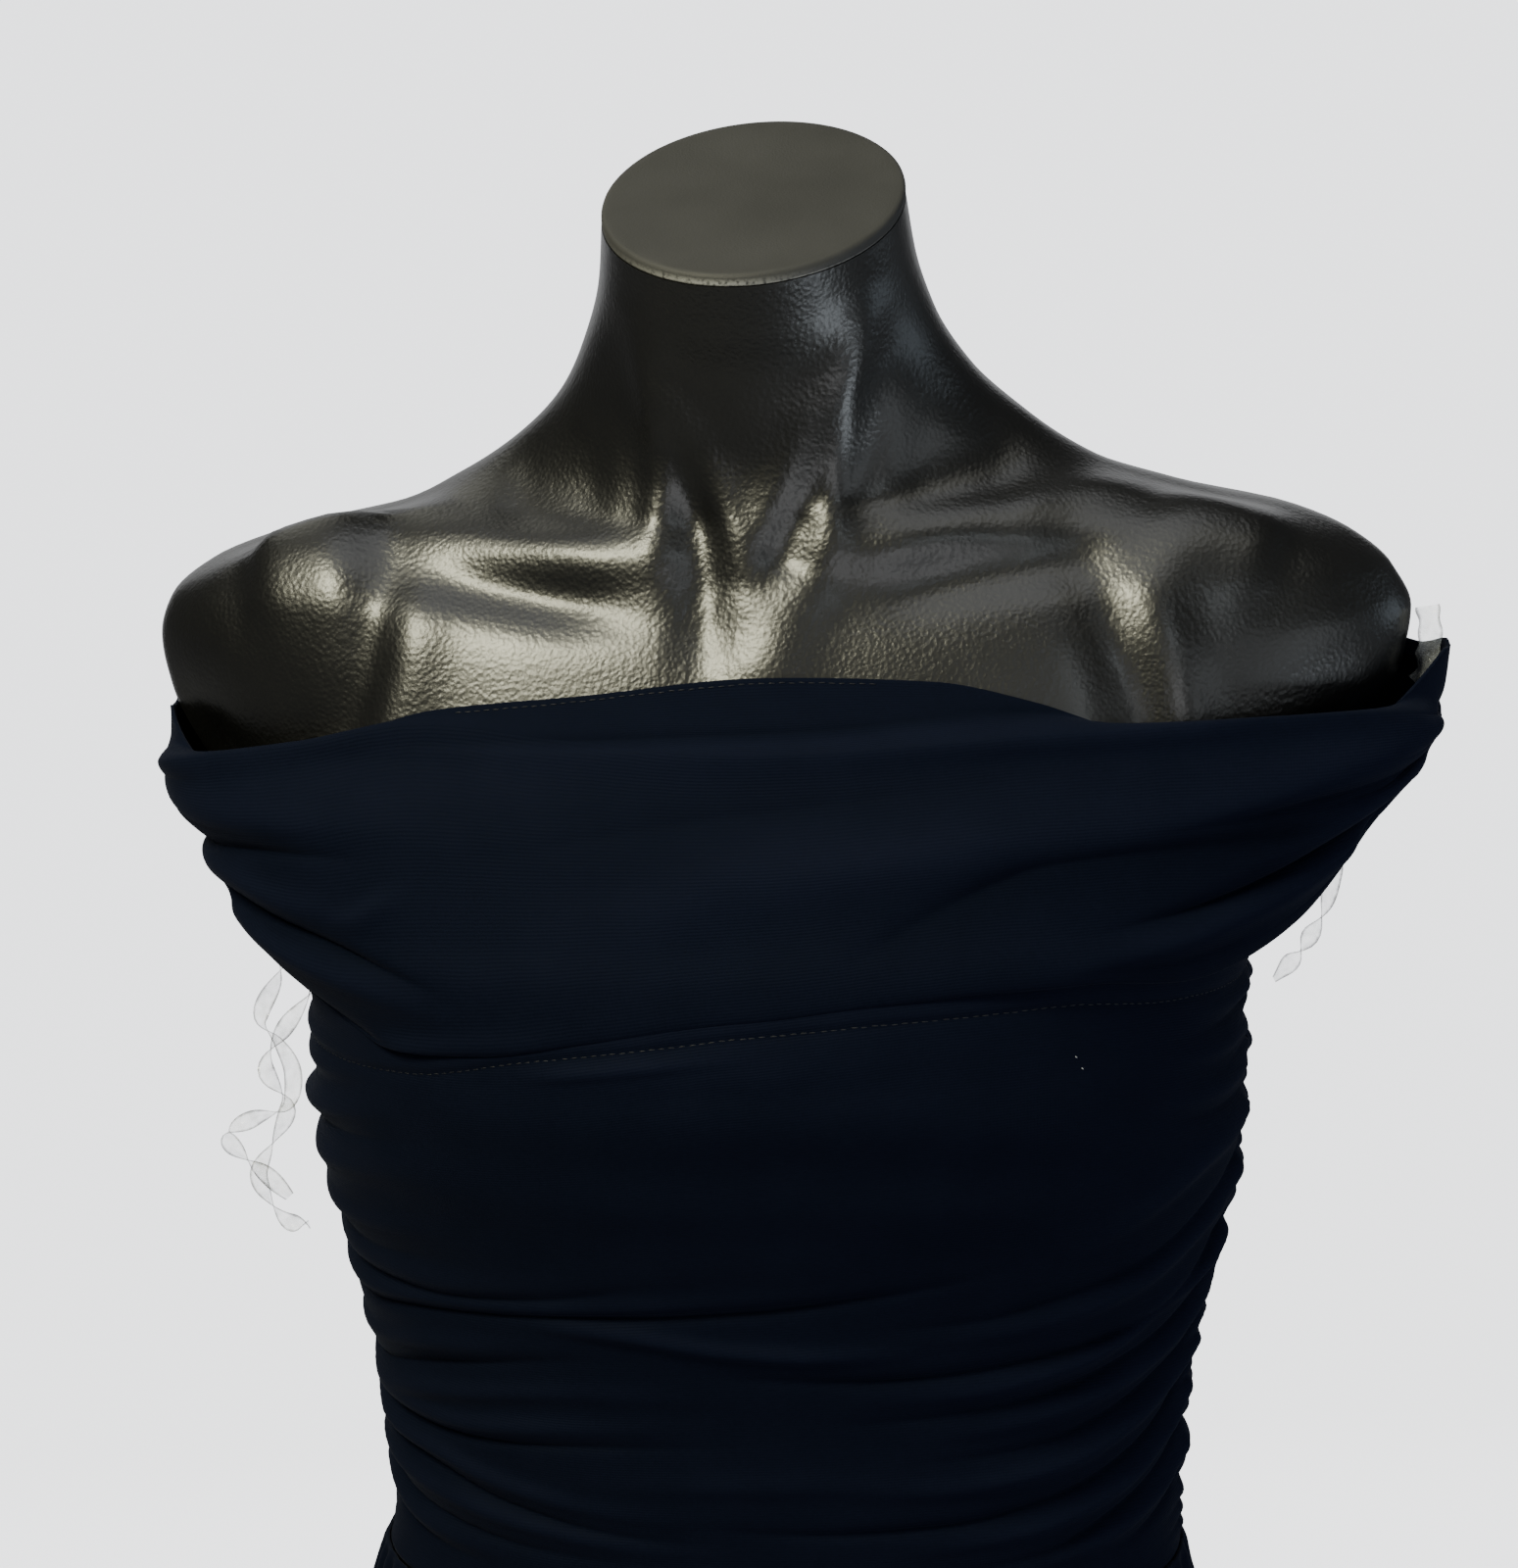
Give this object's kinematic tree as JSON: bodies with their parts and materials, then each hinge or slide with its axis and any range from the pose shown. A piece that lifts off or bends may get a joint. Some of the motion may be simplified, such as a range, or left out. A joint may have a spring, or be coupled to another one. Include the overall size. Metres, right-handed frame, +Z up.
{
  "type": "off-shoulder dress on a dress form",
  "caption": "Hollow off-shoulder dress with a draped band, gathered bodice and flared skirt, worn by a smooth limbless dress form on a pole with a round base.",
  "frame": {"origin": "middle of the underside of the stand's base, on the floor", "axes": "+Z up along the pole, -Y out of the front of the dress, +X to the right as the picture shows it"},
  "size_m": [0.4337, 0.3531, 1.4672],
  "materials": {
    "dress_cloth": "matt mesh jersey",
    "form_plastic": "satin, finely grained",
    "cap_plastic": "matt",
    "stand_steel": "brushed",
    "clear_tape": "clear, soft"
  },
  "bodies": {
    "root": {"form_body": "form_plastic", "neck_cap": "cap_plastic", "stand_pole": "stand_steel", "stand_base": "stand_steel", "band_front": "dress_cloth", "band_back": "dress_cloth", "bodice_front": "dress_cloth", "bodice_back": "dress_cloth", "skirt_front": "dress_cloth", "skirt_back": "dress_cloth", "tape_left_outer": "clear_tape", "tape_left_inner": "clear_tape", "tape_right": "clear_tape"}
  },
  "joints": []
}
